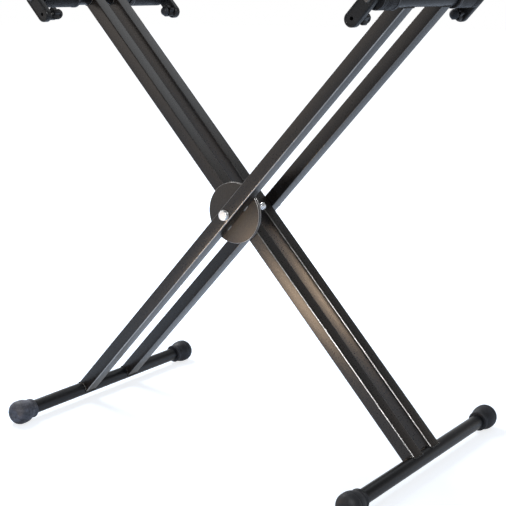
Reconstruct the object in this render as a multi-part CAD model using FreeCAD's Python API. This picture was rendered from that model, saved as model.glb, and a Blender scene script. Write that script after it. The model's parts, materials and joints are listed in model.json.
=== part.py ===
import FreeCAD, Part
import math
import os

# Folding double-braced X stand for a keyboard instrument.
# Two welded frames cross at one pivot bolt: the outer frame (legs wide apart)
# leans to the right at its top, the inner frame (legs close together) leans
# to the left. X is across the X shape, Y is along the feet and arms, Z is up.
# Origin: on the floor, under the pivot, midway between the outer legs.

V = FreeCAD.Vector
X_AXIS = V(1, 0, 0)
Y_AXIS = V(0, 1, 0)
Z_AXIS = V(0, 0, 1)

# ---------------------------------------------------------------- dimensions
# Frames
LEG_ANGLE = 47.2            # degrees from the floor, in the pose shown
LEG_WIDTH = 25.0            # leg tube, outside, across the X shape
LEG_DEPTH = 28.0            # leg tube, outside, along the pivot bolt
LEG_WALL = 1.4
LEG_CORNER = 1.7            # outside corner radius of the leg tube
PIVOT_TO_FOOT = 540.0       # pivot axis to foot tube axis, along the leg
PIVOT_TO_ARM = 516.0        # pivot axis to arm tube axis, along the leg
OUTER_LEGS_APART = 127.0    # leg centre to leg centre, outer frame
LEG_GAP = 2.0               # rear inner leg to rear outer leg

# Foot tubes and their rubber caps
FOOT_R = 13.0
FOOT_WALL = 1.5
FOOT_HALF = 250.0           # half the length of a foot tube
CAP_R = 22.5                # fattest radius of a foot cap
CAP_NECK_R = 17.4
CAP_COVER = 37.0            # how far a cap reaches over its tube
CAP_END = 12.0              # rubber beyond the tube's end
CAP_FLAT = 0.8              # height worn off the underside as a flat

# Arm tubes, sleeves and end plugs
ARM_R = 15.0
ARM_WALL = 1.6
ARM_HALF = 164.0
SLEEVE_R = 18.5
SLEEVE_FIT = 0.05
INNER_SLEEVE_NEAR = 33.5    # from a leg's outer face to the sleeve beside it
INNER_SLEEVE_FAR = 24.5
OUTER_SLEEVE_NEAR = 40.5
OUTER_SLEEVE_FAR = 7.5
SLEEVE_RIM = 6.0            # width of the raised rim at a sleeve's start
SLEEVE_RIM_HEIGHT = 0.9
PLUG_FLANGE = 2.5
PLUG_DEPTH = 14.0
PLUG_FIT = 0.05

# Swing-up keyboard stops on the arm ends
STUB_R = 6.0
STUB_SHOULDER_R = 8.5
STOP_STANDOFF = 8.2         # plug flange to stop
STOP_THICK = 13.0
STOP_HALF_WIDTH = 12.5
STOP_REACH = 42.0           # arm axis to the centre of the stop's round end
STOP_EDGE = 2.6
STOP_RECESS = 0.8
STOP_RECESS_MARGIN = 3.6
RUN_FIT = 0.06              # radial clearance of turning and sliding fits
PLAY = 0.3                  # end play between pieces that move
RETAINER_R = 6.6
RETAINER_HEAD = 2.4
RETAINER_SHANK_R = 2.5
RETAINER_LENGTH = 14.0

# Clamp screws of the stops
SCREW_R = 3.0
SCREW_REACH = 40.5          # arm axis to screw axis
SCREW_GAP = 1.5             # stop to knob, screw wound back
NEAR_WOUND_IN = 9.0         # how far each clamp screw is wound in, as shown
OUTER_FAR_WOUND_IN = 4.0
INNER_FAR_WOUND_IN = 0.0
KNOB_CORE_R = 8.6
KNOB_LOBE_R = 3.4
KNOB_LOBES = 5
KNOB_HEIGHT = 13.0
PAD_R = 9.0
PAD_NECK_R = 5.2
PAD_LENGTH = 12.0

# Pivot discs and bolt
DISC_R = 55.5
DISC_THICK = 3.2
DISC_GAP = 1.6
DISC_EDGE = 0.7
BOLT_R = 6.0
BOLT_HEAD_R = 9.5
BOLT_HEAD_HEIGHT = 5.2
BOLT_HOLE_FIT = 0.25
WASHER_R = 9.8
WASHER_THICK = 1.5
DISC_WASHER_R = 14.0
NUT_ACROSS_FLATS = 19.0
NUT_HEIGHT = 10.0
BUSH_R = 8.0
BUSH_FLANGE_R = 10.5
BUSH_FLANGE = 0.8
SPACER_R = 9.0

# Lock: a spring plunger on the inner disc, holes in the outer disc
LOCK_INSET = 14.5           # disc rim to the plunger's axis
LOCK_ANGLE = 16.5           # plunger direction from +X, degrees
LOCK_STEP = 13.0            # fold angle between settings
LOCK_HOLES_DOWN = 2         # settings lower than the one shown
LOCK_HOLES_UP = 6           # settings higher, the last one folded flat
LOCK_PIN_R = 3.2
LOCK_HOLE_R = 3.6
LOCK_HOLE_DEPTH = 2.4
LOCK_TRAVEL = 3.7
LOCK_BODY_R = 7.6
LOCK_BODY_LENGTH = 13.5
LOCK_BORE_R = 5.8
LOCK_END_WALL = 1.8
LOCK_ROD_R = 2.6
LOCK_COLLAR_R = 5.5
LOCK_COLLAR = 2.0
LOCK_KNOB_R = 7.0
LOCK_KNOB_LENGTH = 12.0
SPRING_WIRE_R = 0.45
SPRING_COIL_R = 4.2
SPRING_TURNS = 4

# Welds
BEAD_R = 1.7
STITCH = 14.0
STITCH_INSET = 28.5         # disc rim to the middle of a stitch

# ------------------------------------------------------------- derived sizes
HALF_WIDTH = LEG_WIDTH / 2.0
HALF_DEPTH = LEG_DEPTH / 2.0
PIVOT_Z = PIVOT_TO_FOOT * math.sin(math.radians(LEG_ANGLE)) + CAP_R - CAP_FLAT
PIVOT = V(0, 0, PIVOT_Z)
OUTER_LEG_YS = (-OUTER_LEGS_APART / 2.0, OUTER_LEGS_APART / 2.0)
OUTER_DISC_Y = OUTER_LEG_YS[0] + HALF_DEPTH     # front face of the outer disc
OUTER_DISC_BACK = OUTER_DISC_Y + DISC_THICK
INNER_DISC_Y = OUTER_DISC_BACK + DISC_GAP
INNER_DISC_BACK = INNER_DISC_Y + DISC_THICK
INNER_FRONT_Y = INNER_DISC_BACK + HALF_DEPTH    # centre of the front inner leg
INNER_REAR_Y = OUTER_LEG_YS[1] - LEG_DEPTH - LEG_GAP
INNER_LEG_YS = (INNER_FRONT_Y, INNER_REAR_Y)
LOCK_RADIUS = DISC_R - LOCK_INSET
STOP_INNER = ARM_HALF + PLUG_FLANGE + STOP_STANDOFF + PLAY
STOP_OUTER = STOP_INNER + STOP_THICK

# Each frame: its name, the way its top leans, its legs, its sleeves and how far
# its clamp screws are wound in.
FRAMES = (
    ("outer", 1, OUTER_LEG_YS, (OUTER_SLEEVE_NEAR, OUTER_SLEEVE_FAR),
     (NEAR_WOUND_IN, OUTER_FAR_WOUND_IN)),
    ("inner", -1, INNER_LEG_YS, (INNER_SLEEVE_NEAR, INNER_SLEEVE_FAR),
     (NEAR_WOUND_IN, INNER_FAR_WOUND_IN)),
)
# Each end of an arm or foot tube: its name and which way along Y it points.
ENDS = (("near", -1), ("far", 1))


# ------------------------------------------------------------------- helpers
def cyl_y(radius, y0, y1, x=0.0, z=0.0):
    """Cylinder along Y between two places, given in either order."""
    low = min(y0, y1)
    return Part.makeCylinder(radius, abs(y1 - y0), V(x, low, z), Y_AXIS)


def tube_y(outer, bore, y0, y1, x=0.0, z=0.0):
    """Tube along Y."""
    return cyl_y(outer, y0, y1, x, z).cut(cyl_y(bore, y0 - 1, y1 + 1, x, z))


def revolve_y(edges):
    """Solid of revolution about Y from a closed chain of edges in the XY plane."""
    face = Part.Face(Part.Wire(edges))
    return face.revolve(V(0, 0, 0), Y_AXIS, 360)


def line(a, b):
    return Part.makeLine(V(*a), V(*b))


def arc(a, b, c):
    return Part.Arc(V(*a), V(*b), V(*c)).toShape()


def dome(rim_r, low, high):
    """Arc from a rim up to the axis, part of a circle centred on the axis."""
    rise = high - low
    radius = (rim_r ** 2 + rise ** 2) / (2 * rise)
    half = math.asin(rim_r / radius) / 2.0
    mid = (radius * math.sin(half), high - radius + radius * math.cos(half), 0)
    return arc((rim_r, low, 0), mid, (0, high, 0))


def lean(shape, side):
    """Tip a shape built upright round the pivot into its place in a frame."""
    placed = shape.copy()
    placed.rotate(V(0, 0, 0), Y_AXIS, side * (90.0 - LEG_ANGLE))
    placed.translate(PIVOT)
    return placed


def at_pivot(shape):
    placed = shape.copy()
    placed.translate(PIVOT)
    return placed


def face_edges(shape, y):
    """Edges that lie wholly in the plane at this y."""
    near = []
    for edge in shape.Edges:
        box = edge.BoundBox
        if abs(box.YMin - y) < 1e-4 and abs(box.YMax - y) < 1e-4:
            near.append(edge)
    return near


def save(name, shapes):
    """Write one sub-part: a solid, or a group of separate solids."""
    solids = []
    for shape in shapes if isinstance(shapes, (list, tuple)) else [shapes]:
        solids.extend(shape.Solids)
    for solid in solids:
        assert solid.isValid(), name
        assert solid.Volume > 0.1, name
    result = solids[0] if len(solids) == 1 else Part.makeCompound(solids)
    result.exportStep("parts/" + name + ".step")


# -------------------------------------------------------------------- frames
def leg_bar(inset, corner, z0, z1, y):
    """Upright bar of the leg's section, or smaller by an inset, with rounded corners."""
    width = LEG_WIDTH - 2 * inset
    depth = LEG_DEPTH - 2 * inset
    bar = Part.makeBox(width, depth, z1 - z0, V(-width / 2.0, y - depth / 2.0, z0))
    upright = [e for e in bar.Edges if abs(e.BoundBox.ZLength - (z1 - z0)) < 1e-6]
    return bar.makeFillet(corner, upright)


def leg(y, hole_r):
    """Leg tube, ends coped to the foot and arm tubes, drilled at the pivot."""
    low, high = -PIVOT_TO_FOOT, PIVOT_TO_ARM
    bar = leg_bar(0.0, LEG_CORNER, low, high, y)
    bar = bar.cut(leg_bar(LEG_WALL, LEG_CORNER - LEG_WALL, low - 1, high + 1, y))
    bar = bar.cut(cyl_y(FOOT_R, y - LEG_DEPTH, y + LEG_DEPTH, 0, low))
    bar = bar.cut(cyl_y(ARM_R, y - LEG_DEPTH, y + LEG_DEPTH, 0, high))
    return bar.cut(cyl_y(hole_r, y - LEG_DEPTH, y + LEG_DEPTH))


def foot_tube():
    return tube_y(FOOT_R, FOOT_R - FOOT_WALL, -FOOT_HALF, FOOT_HALF, 0, -PIVOT_TO_FOOT)


def arm_tube():
    return tube_y(ARM_R, ARM_R - ARM_WALL, -ARM_HALF, ARM_HALF, 0, PIVOT_TO_ARM)


def foot_cap(way):
    """Bulbous rubber cap with a beaded mouth, slipped over a foot tube's end."""
    mouth = FOOT_HALF - CAP_COVER
    end = FOOT_HALF + CAP_END
    bead = mouth + 6.0
    neck = mouth + 9.0
    fat = mouth + 27.0
    shoulder = fat + 6.0
    bead_r = CAP_NECK_R + 1.0
    flat_r = CAP_R * 0.36
    turn = 0.7071
    round_r = CAP_R - flat_r
    mid = (flat_r + round_r * turn, shoulder + (end - shoulder) * turn, 0)
    chain = [
        line((0, FOOT_HALF, 0), (FOOT_R, FOOT_HALF, 0)),
        line((FOOT_R, FOOT_HALF, 0), (FOOT_R, mouth, 0)),
        line((FOOT_R, mouth, 0), (bead_r - 1.6, mouth, 0)),
        arc((bead_r - 1.6, mouth, 0), (bead_r, mouth + 3.0, 0), (bead_r - 0.6, bead, 0)),
        line((bead_r - 0.6, bead, 0), (CAP_NECK_R, neck, 0)),
        arc((CAP_NECK_R, neck, 0), (CAP_R - 1.6, (neck + fat) / 2.0, 0), (CAP_R, fat, 0)),
        line((CAP_R, fat, 0), (CAP_R, shoulder, 0)),
        arc((CAP_R, shoulder, 0), mid, (flat_r, end, 0)),
        line((flat_r, end, 0), (0, end, 0)),
        line((0, end, 0), (0, FOOT_HALF, 0)),
    ]
    cap = revolve_y(chain)
    if way < 0:
        cap = cap.mirror(V(0, 0, 0), Y_AXIS)
    cap.translate(V(0, 0, -PIVOT_TO_FOOT))
    return cap


def stand_flat(cap):
    """Flat on the underside of a placed cap, level with the floor."""
    reach = 2000.0
    floor = Part.makeBox(reach, reach, reach, V(-reach / 2, -reach / 2, -reach))
    return cap.cut(floor)


def saddle_weld(tube_r, axis_z, up, y):
    """Weld bead round the leg where it meets a round tube."""
    reach = HALF_DEPTH + BEAD_R
    rise = math.sqrt(max((tube_r + 0.5) ** 2 - HALF_WIDTH ** 2, 1.0))
    half_angle = math.degrees(math.asin(min(HALF_WIDTH / (tube_r + 0.6), 1.0)))
    bead = None
    for face in (y - HALF_DEPTH, y + HALF_DEPTH):
        ring = Part.makeTorus(tube_r + 0.4, BEAD_R, V(0, face, axis_z), Y_AXIS)
        wedge_top = up * (tube_r + 4.0) * 1.4
        spread = math.tan(math.radians(half_angle)) * abs(wedge_top)
        corners = [
            V(0, face - 4, axis_z),
            V(spread, face - 4, axis_z + wedge_top),
            V(-spread, face - 4, axis_z + wedge_top),
            V(0, face - 4, axis_z),
        ]
        wedge = Part.Face(Part.makePolygon(corners)).extrude(V(0, 8, 0))
        piece = ring.common(wedge)
        bead = piece if bead is None else bead.fuse(piece)
    for across in (-1, 1):
        over = HALF_DEPTH + 0.5
        bead = bead.fuse(cyl_y(BEAD_R, y - over, y + over, across * HALF_WIDTH, axis_z + up * rise))
    clear_z = 2 * (tube_r + BEAD_R)
    clear = Part.makeBox(LEG_WIDTH, LEG_DEPTH, 2 * clear_z, V(-HALF_WIDTH, y - HALF_DEPTH, axis_z - clear_z))
    bead = bead.cut(clear)
    return bead.cut(cyl_y(tube_r, y - reach - 5, y + reach + 5, 0, axis_z))


def frame_welds(leg_ys):
    beads = []
    for y in leg_ys:
        beads.append(saddle_weld(FOOT_R, -PIVOT_TO_FOOT, 1, y))
        beads.append(saddle_weld(ARM_R, PIVOT_TO_ARM, -1, y))
    return beads


# ---------------------------------------------------------------- arm fittings
def sleeve(start, way):
    """Non-slip rubber sleeve over an arm's end, with a raised rim."""
    end = ARM_HALF + PLUG_FLANGE
    rim_end = start + SLEEVE_RIM
    rim_r = SLEEVE_R + SLEEVE_RIM_HEIGHT
    bore = ARM_R + SLEEVE_FIT
    soft = 2.2
    turn = soft * (1 - 0.7071)
    chain = [
        line((bore, start, 0), (rim_r - 1.0, start, 0)),
        arc((rim_r - 1.0, start, 0), (rim_r - 0.3, start + 0.3, 0), (rim_r, start + 1.0, 0)),
        line((rim_r, start + 1.0, 0), (rim_r, rim_end, 0)),
        line((rim_r, rim_end, 0), (SLEEVE_R, rim_end + 1.2, 0)),
        line((SLEEVE_R, rim_end + 1.2, 0), (SLEEVE_R, end - soft, 0)),
        arc((SLEEVE_R, end - soft, 0), (SLEEVE_R - turn, end - turn, 0), (SLEEVE_R - soft, end, 0)),
        line((SLEEVE_R - soft, end, 0), (bore, end, 0)),
        line((bore, end, 0), (bore, start, 0)),
    ]
    shape = revolve_y(chain)
    if way < 0:
        shape = shape.mirror(V(0, 0, 0), Y_AXIS)
    shape.translate(V(0, 0, PIVOT_TO_ARM))
    return shape


def end_plug(way):
    """Plug driven into the arm tube, with the stub that the stop turns on."""
    spigot_r = ARM_R - ARM_WALL - PLUG_FIT
    face = ARM_HALF + PLUG_FLANGE
    plug = cyl_y(spigot_r, way * (ARM_HALF - PLUG_DEPTH), way * ARM_HALF)
    plug = plug.fuse(cyl_y(ARM_R, way * ARM_HALF, way * face))
    plug = plug.fuse(cyl_y(STUB_SHOULDER_R, way * face, way * (STOP_INNER - PLAY)))
    plug = plug.fuse(cyl_y(STUB_R, way * face, way * (STOP_OUTER + PLAY)))
    tapped = STOP_OUTER + PLAY - RETAINER_LENGTH - 1.0
    plug = plug.cut(cyl_y(RETAINER_SHANK_R, way * tapped, way * (STOP_OUTER + PLAY)))
    plug.translate(V(0, 0, PIVOT_TO_ARM))
    return plug


def retainer(way):
    """Round-headed screw that keeps a stop on its stub."""
    seat = STOP_OUTER + PLAY
    top = seat + RETAINER_HEAD
    rim = RETAINER_R - 1.4
    chain = [
        line((0, seat - RETAINER_LENGTH, 0), (RETAINER_SHANK_R, seat - RETAINER_LENGTH, 0)),
        line((RETAINER_SHANK_R, seat - RETAINER_LENGTH, 0), (RETAINER_SHANK_R, seat, 0)),
        line((RETAINER_SHANK_R, seat, 0), (RETAINER_R, seat, 0)),
        line((RETAINER_R, seat, 0), (RETAINER_R, seat + 0.8, 0)),
        arc((RETAINER_R, seat + 0.8, 0), (RETAINER_R - 0.5, top - 0.6, 0), (rim - 1.2, top, 0)),
        line((rim - 1.2, top, 0), (0, top, 0)),
        line((0, top, 0), (0, seat - RETAINER_LENGTH, 0)),
    ]
    screw = revolve_y(chain)
    socket = Part.makePolygon([hex_point(2.3, i, top + 1) for i in range(7)])
    screw = screw.cut(Part.Face(socket).extrude(V(0, -2.4, 0)))
    if way < 0:
        screw = screw.mirror(V(0, 0, 0), Y_AXIS)
    screw.translate(V(0, 0, PIVOT_TO_ARM))
    return screw


def hex_point(radius, i, y):
    turn = math.radians(60.0 * i)
    return V(radius * math.cos(turn), y, radius * math.sin(turn))


def stadium(half_width, reach, y0, y1):
    """Link outline: round at the arm's axis and at the free end below it."""
    low = min(y0, y1)
    depth = abs(y1 - y0)
    upper = cyl_y(half_width, y0, y1)
    lower = cyl_y(half_width, y0, y1, 0, -reach)
    middle = Part.makeBox(2 * half_width, depth, reach, V(-half_width, low, -reach))
    return upper.fuse([middle, lower]).removeSplitter()


def stop(way):
    """Swing-up stop: a thick link with soft edges and a recessed outer face."""
    body = stadium(STOP_HALF_WIDTH, STOP_REACH, way * STOP_INNER, way * STOP_OUTER)
    rims = face_edges(body, way * STOP_INNER) + face_edges(body, way * STOP_OUTER)
    body = body.makeFillet(STOP_EDGE, rims)
    inset = STOP_HALF_WIDTH - STOP_RECESS_MARGIN
    recess = stadium(inset, STOP_REACH, way * (STOP_OUTER - STOP_RECESS), way * (STOP_OUTER + 1))
    body = body.cut(recess)
    boss = cyl_y(STUB_R + 2.6, way * (STOP_OUTER - STOP_RECESS), way * STOP_OUTER)
    body = body.fuse(boss)
    body = body.cut(cyl_y(STUB_R + RUN_FIT, way * (STOP_INNER - 1), way * (STOP_OUTER + 1)))
    hole_r = SCREW_R + RUN_FIT
    body = body.cut(cyl_y(hole_r, way * (STOP_INNER - 1), way * (STOP_OUTER + 1), 0, -SCREW_REACH))
    body.translate(V(0, 0, PIVOT_TO_ARM))
    return body


def knob(way, gap):
    """Lobed hand knob on the clamp screw."""
    outer = STOP_INNER - gap
    inner = outer - KNOB_HEIGHT
    z = -SCREW_REACH
    body = cyl_y(KNOB_CORE_R, way * inner, way * outer, 0, z)
    for i in range(KNOB_LOBES):
        turn = math.radians(360.0 * i / KNOB_LOBES - 90.0)
        x_lobe = KNOB_CORE_R * math.cos(turn)
        z_lobe = z + KNOB_CORE_R * math.sin(turn)
        body = body.fuse(cyl_y(KNOB_LOBE_R, way * inner, way * outer, x_lobe, z_lobe))
    body = body.removeSplitter()
    rims = face_edges(body, way * inner) + face_edges(body, way * outer)
    body = body.makeFillet(0.9, rims)
    body = body.cut(cyl_y(SCREW_R, way * (inner - 1), way * (outer + 1), 0, z))
    body.translate(V(0, 0, PIVOT_TO_ARM))
    return body


def clamp_screw(way, gap):
    """Screw through the stop, into the knob and the pad."""
    tail = STOP_OUTER - STOP_RECESS - (gap - SCREW_GAP) - PLAY
    tip = STOP_INNER - gap - KNOB_HEIGHT - PAD_LENGTH / 2.0
    screw = cyl_y(SCREW_R, way * tip, way * tail)
    screw = screw.makeChamfer(0.6, face_edges(screw, way * tail))
    screw.translate(V(0, 0, PIVOT_TO_ARM - SCREW_REACH))
    return screw


def pad(way, gap):
    """Mushroom pad of soft rubber on the screw's inner tip."""
    base = 0.0
    neck = 2.5
    chain = [
        line((SCREW_R, base, 0), (PAD_NECK_R, base, 0)),
        line((PAD_NECK_R, base, 0), (PAD_NECK_R, neck, 0)),
        line((PAD_NECK_R, neck, 0), (PAD_R - 1.0, neck + 0.6, 0)),
        arc((PAD_R - 1.0, neck + 0.6, 0), (PAD_R, neck + 2.6, 0), (PAD_R - 0.8, neck + 4.6, 0)),
        dome(PAD_R - 0.8, neck + 4.6, PAD_LENGTH),
        line((0, PAD_LENGTH, 0), (0, PAD_LENGTH / 2.0, 0)),
        line((0, PAD_LENGTH / 2.0, 0), (SCREW_R, PAD_LENGTH / 2.0, 0)),
        line((SCREW_R, PAD_LENGTH / 2.0, 0), (SCREW_R, base, 0)),
    ]
    shape = revolve_y(chain)
    if way > 0:
        shape = shape.mirror(V(0, 0, 0), Y_AXIS)
    shape.translate(V(0, way * (STOP_INNER - gap - KNOB_HEIGHT), PIVOT_TO_ARM - SCREW_REACH))
    return shape


# ------------------------------------------------------------ pivot and lock
def disc(y0):
    """Thick round plate with broken edges and the pivot hole."""
    plate = cyl_y(DISC_R, y0, y0 + DISC_THICK)
    rims = face_edges(plate, y0) + face_edges(plate, y0 + DISC_THICK)
    plate = plate.makeFillet(DISC_EDGE, rims)
    return plate.cut(cyl_y(BOLT_R + BOLT_HOLE_FIT, y0 - 1, y0 + DISC_THICK + 1))


def lock_place(fold):
    """Where the plunger's axis stands, in X and Z, at a fold angle."""
    turn = math.radians(LOCK_ANGLE - fold)
    return LOCK_RADIUS * math.cos(turn), LOCK_RADIUS * math.sin(turn)


def outer_disc():
    """Welded to the front outer leg; its back has the ring of lock holes."""
    plate = disc(OUTER_DISC_Y)
    for step in range(-LOCK_HOLES_DOWN, LOCK_HOLES_UP + 1):
        x, z = lock_place(step * LOCK_STEP)
        floor = OUTER_DISC_BACK - LOCK_HOLE_DEPTH
        plate = plate.cut(cyl_y(LOCK_HOLE_R, floor, OUTER_DISC_BACK + 1, x, z))
    return plate


def inner_disc():
    """Welded to the front inner leg; the plunger stands on its back."""
    x, z = lock_place(0)
    through = cyl_y(LOCK_PIN_R + RUN_FIT, INNER_DISC_Y - 1, INNER_DISC_BACK + 1, x, z)
    return disc(INNER_DISC_Y).cut(through)


def disc_stitches():
    """Short welds along both edges of the front outer leg, on the disc's face."""
    beads = []
    for across in (-1, 1):
        for along in (-1, 1):
            middle = along * (DISC_R - STITCH_INSET)
            base = V(across * HALF_WIDTH, OUTER_DISC_Y, middle - STITCH / 2.0)
            bead = Part.makeCylinder(BEAD_R, STITCH, base, Z_AXIS)
            bead = bead.fuse(Part.makeSphere(BEAD_R, base))
            bead = bead.fuse(Part.makeSphere(BEAD_R, base + V(0, 0, STITCH)))
            beads.append(bead)
    corner = V(-HALF_WIDTH, OUTER_DISC_Y - LEG_DEPTH, -DISC_R)
    solid_leg = Part.makeBox(LEG_WIDTH, LEG_DEPTH, 2 * DISC_R, corner)
    plate = cyl_y(DISC_R, OUTER_DISC_Y, OUTER_DISC_BACK)
    return [b.cut(solid_leg).cut(plate) for b in beads]


def rim_welds():
    """Welds along the inner disc's rim, across the front inner leg."""
    beads = []
    ring = Part.makeTorus(DISC_R, BEAD_R, V(0, INNER_DISC_BACK, 0), Y_AXIS)
    keep = LEG_WIDTH - 2 * LEG_CORNER
    plate = cyl_y(DISC_R, INNER_DISC_Y, INNER_DISC_BACK)
    for along in (-1, 1):
        low = DISC_R - 8.0 if along > 0 else -DISC_R - 8.0
        window = Part.makeBox(keep, DISC_THICK, 16.0, V(-keep / 2, INNER_DISC_BACK - DISC_THICK, low))
        beads.append(ring.common(window).cut(plate))
    return beads


def pivot_bolt():
    """Domed bolt through both frames."""
    seat = OUTER_LEG_YS[0] - HALF_DEPTH - WASHER_THICK
    top = seat - BOLT_HEAD_HEIGHT
    tail = OUTER_LEG_YS[1] + HALF_DEPTH + WASHER_THICK + NUT_HEIGHT + 3.0
    tip = BOLT_R - 0.8
    chain = [
        line((0, top, 0), (BOLT_HEAD_R * 0.45, top, 0)),
        arc((BOLT_HEAD_R * 0.45, top, 0), (BOLT_HEAD_R * 0.86, top + 1.6, 0),
            (BOLT_HEAD_R, seat - 1.2, 0)),
        line((BOLT_HEAD_R, seat - 1.2, 0), (BOLT_HEAD_R, seat, 0)),
        line((BOLT_HEAD_R, seat, 0), (BOLT_R, seat, 0)),
        line((BOLT_R, seat, 0), (BOLT_R, tail - 0.8, 0)),
        line((BOLT_R, tail - 0.8, 0), (tip, tail, 0)),
        line((tip, tail, 0), (0, tail, 0)),
        line((0, tail, 0), (0, top, 0)),
    ]
    return revolve_y(chain)


def pivot_nut():
    """Hexagon nut with a domed locking collar."""
    seat = OUTER_LEG_YS[1] + HALF_DEPTH + WASHER_THICK
    corner_r = NUT_ACROSS_FLATS / 2.0 / math.cos(math.radians(30))
    hexagon = Part.Face(Part.makePolygon([hex_point(corner_r, i, seat) for i in range(7)]))
    nut = hexagon.extrude(V(0, NUT_HEIGHT - 2.5, 0))
    crown = Part.makeCone(corner_r + 4.0, NUT_ACROSS_FLATS / 2.0 - 0.6,
                          NUT_HEIGHT - 2.5 + 0.01, V(0, seat, 0), Y_AXIS)
    nut = nut.common(crown)
    nut = nut.fuse(cyl_y(NUT_ACROSS_FLATS / 2.0 - 1.0, seat, seat + NUT_HEIGHT))
    return nut.cut(cyl_y(BOLT_R, seat - 1, seat + NUT_HEIGHT + 1))


def washers():
    """Four washers: under the head, between the discs, between the rear legs, under the nut."""
    hole = BOLT_R + BOLT_HOLE_FIT
    head = OUTER_LEG_YS[0] - HALF_DEPTH
    rear = OUTER_LEG_YS[1] - HALF_DEPTH
    nut = OUTER_LEG_YS[1] + HALF_DEPTH
    gap_rear = LEG_GAP - BUSH_FLANGE - PLAY
    return [
        tube_y(WASHER_R, hole, head - WASHER_THICK, head),
        tube_y(DISC_WASHER_R, hole, OUTER_DISC_BACK, OUTER_DISC_BACK + DISC_GAP - PLAY),
        tube_y(WASHER_R, hole, rear - gap_rear, rear),
        tube_y(WASHER_R, hole, nut, nut + WASHER_THICK),
    ]


def bush(y):
    """Flanged nylon bush pressed through one inner leg."""
    low = y - HALF_DEPTH
    high = y + HALF_DEPTH
    body = cyl_y(BUSH_R, low, high)
    body = body.fuse(cyl_y(BUSH_FLANGE_R, high, high + BUSH_FLANGE))
    return body.cut(cyl_y(BOLT_R + RUN_FIT, low - 1, high + BUSH_FLANGE + 1))


def spacer():
    """Tube that keeps the two inner legs apart on the bolt."""
    start = INNER_FRONT_Y + HALF_DEPTH + BUSH_FLANGE
    return tube_y(SPACER_R, BOLT_R + RUN_FIT, start, INNER_REAR_Y - HALF_DEPTH)


def lock_housing():
    """Plunger body standing on the back of the inner disc."""
    x, z = lock_place(0)
    back = INNER_DISC_BACK + LOCK_BODY_LENGTH
    body = cyl_y(LOCK_BODY_R, INNER_DISC_BACK, back, x, z)
    body = body.makeFillet(1.2, face_edges(body, back))
    body = body.cut(cyl_y(LOCK_BORE_R, INNER_DISC_BACK - 1, back - LOCK_END_WALL, x, z))
    return body.cut(cyl_y(LOCK_ROD_R + RUN_FIT, INNER_DISC_BACK, back + 1, x, z))


def lock_pin():
    """Plunger pin, drawn back clear of the outer disc."""
    x, z = lock_place(0)
    collar = INNER_DISC_BACK + LOCK_TRAVEL + PLAY
    back = INNER_DISC_BACK + LOCK_BODY_LENGTH
    knob_mid = back + LOCK_TRAVEL + PLAY + LOCK_KNOB_LENGTH / 2.0
    pin = cyl_y(LOCK_PIN_R, INNER_DISC_Y, collar, x, z)
    pin = pin.makeFillet(0.8, face_edges(pin, INNER_DISC_Y))
    pin = pin.fuse(cyl_y(LOCK_COLLAR_R, collar, collar + LOCK_COLLAR, x, z))
    return pin.fuse(cyl_y(LOCK_ROD_R, collar + LOCK_COLLAR, knob_mid, x, z))


def lock_spring():
    """Compression spring between the pin's collar and the housing's end wall."""
    x, z = lock_place(0)
    start = INNER_DISC_BACK + LOCK_TRAVEL + PLAY + LOCK_COLLAR + SPRING_WIRE_R + 0.1
    end = INNER_DISC_BACK + LOCK_BODY_LENGTH - LOCK_END_WALL - SPRING_WIRE_R - 0.1
    length = end - start
    helix = Part.makeHelix(length / SPRING_TURNS, length, SPRING_COIL_R)
    section = Part.Wire(Part.makeCircle(SPRING_WIRE_R, V(SPRING_COIL_R, 0, 0), Y_AXIS))
    coil = Part.Wire(helix.Edges).makePipeShell([section], True, True)
    coil.rotate(V(0, 0, 0), X_AXIS, -90)
    coil.translate(V(x, start, z))
    return coil


def lock_knob():
    """Pull knob on the plunger's tail, waisted for two fingers."""
    x, z = lock_place(0)
    base = INNER_DISC_BACK + LOCK_BODY_LENGTH + LOCK_TRAVEL + PLAY
    top = base + LOCK_KNOB_LENGTH
    waist = LOCK_KNOB_R - 2.6
    chain = [
        line((0, base, 0), (waist + 0.8, base, 0)),
        arc((waist + 0.8, base, 0), (waist, base + 4.0, 0), (LOCK_KNOB_R - 0.6, top - 5.0, 0)),
        arc((LOCK_KNOB_R - 0.6, top - 5.0, 0), (LOCK_KNOB_R, top - 3.0, 0),
            (LOCK_KNOB_R - 1.6, top - 0.7, 0)),
        line((LOCK_KNOB_R - 1.6, top - 0.7, 0), (LOCK_KNOB_R - 3.0, top, 0)),
        line((LOCK_KNOB_R - 3.0, top, 0), (0, top, 0)),
        line((0, top, 0), (0, base, 0)),
    ]
    body = revolve_y(chain)
    body = body.cut(cyl_y(LOCK_ROD_R, base - 1, base + LOCK_KNOB_LENGTH / 2.0))
    body.translate(V(x, 0, z))
    return body


# ---------------------------------------------------------------------- build
os.makedirs("parts", exist_ok=True)

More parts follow.
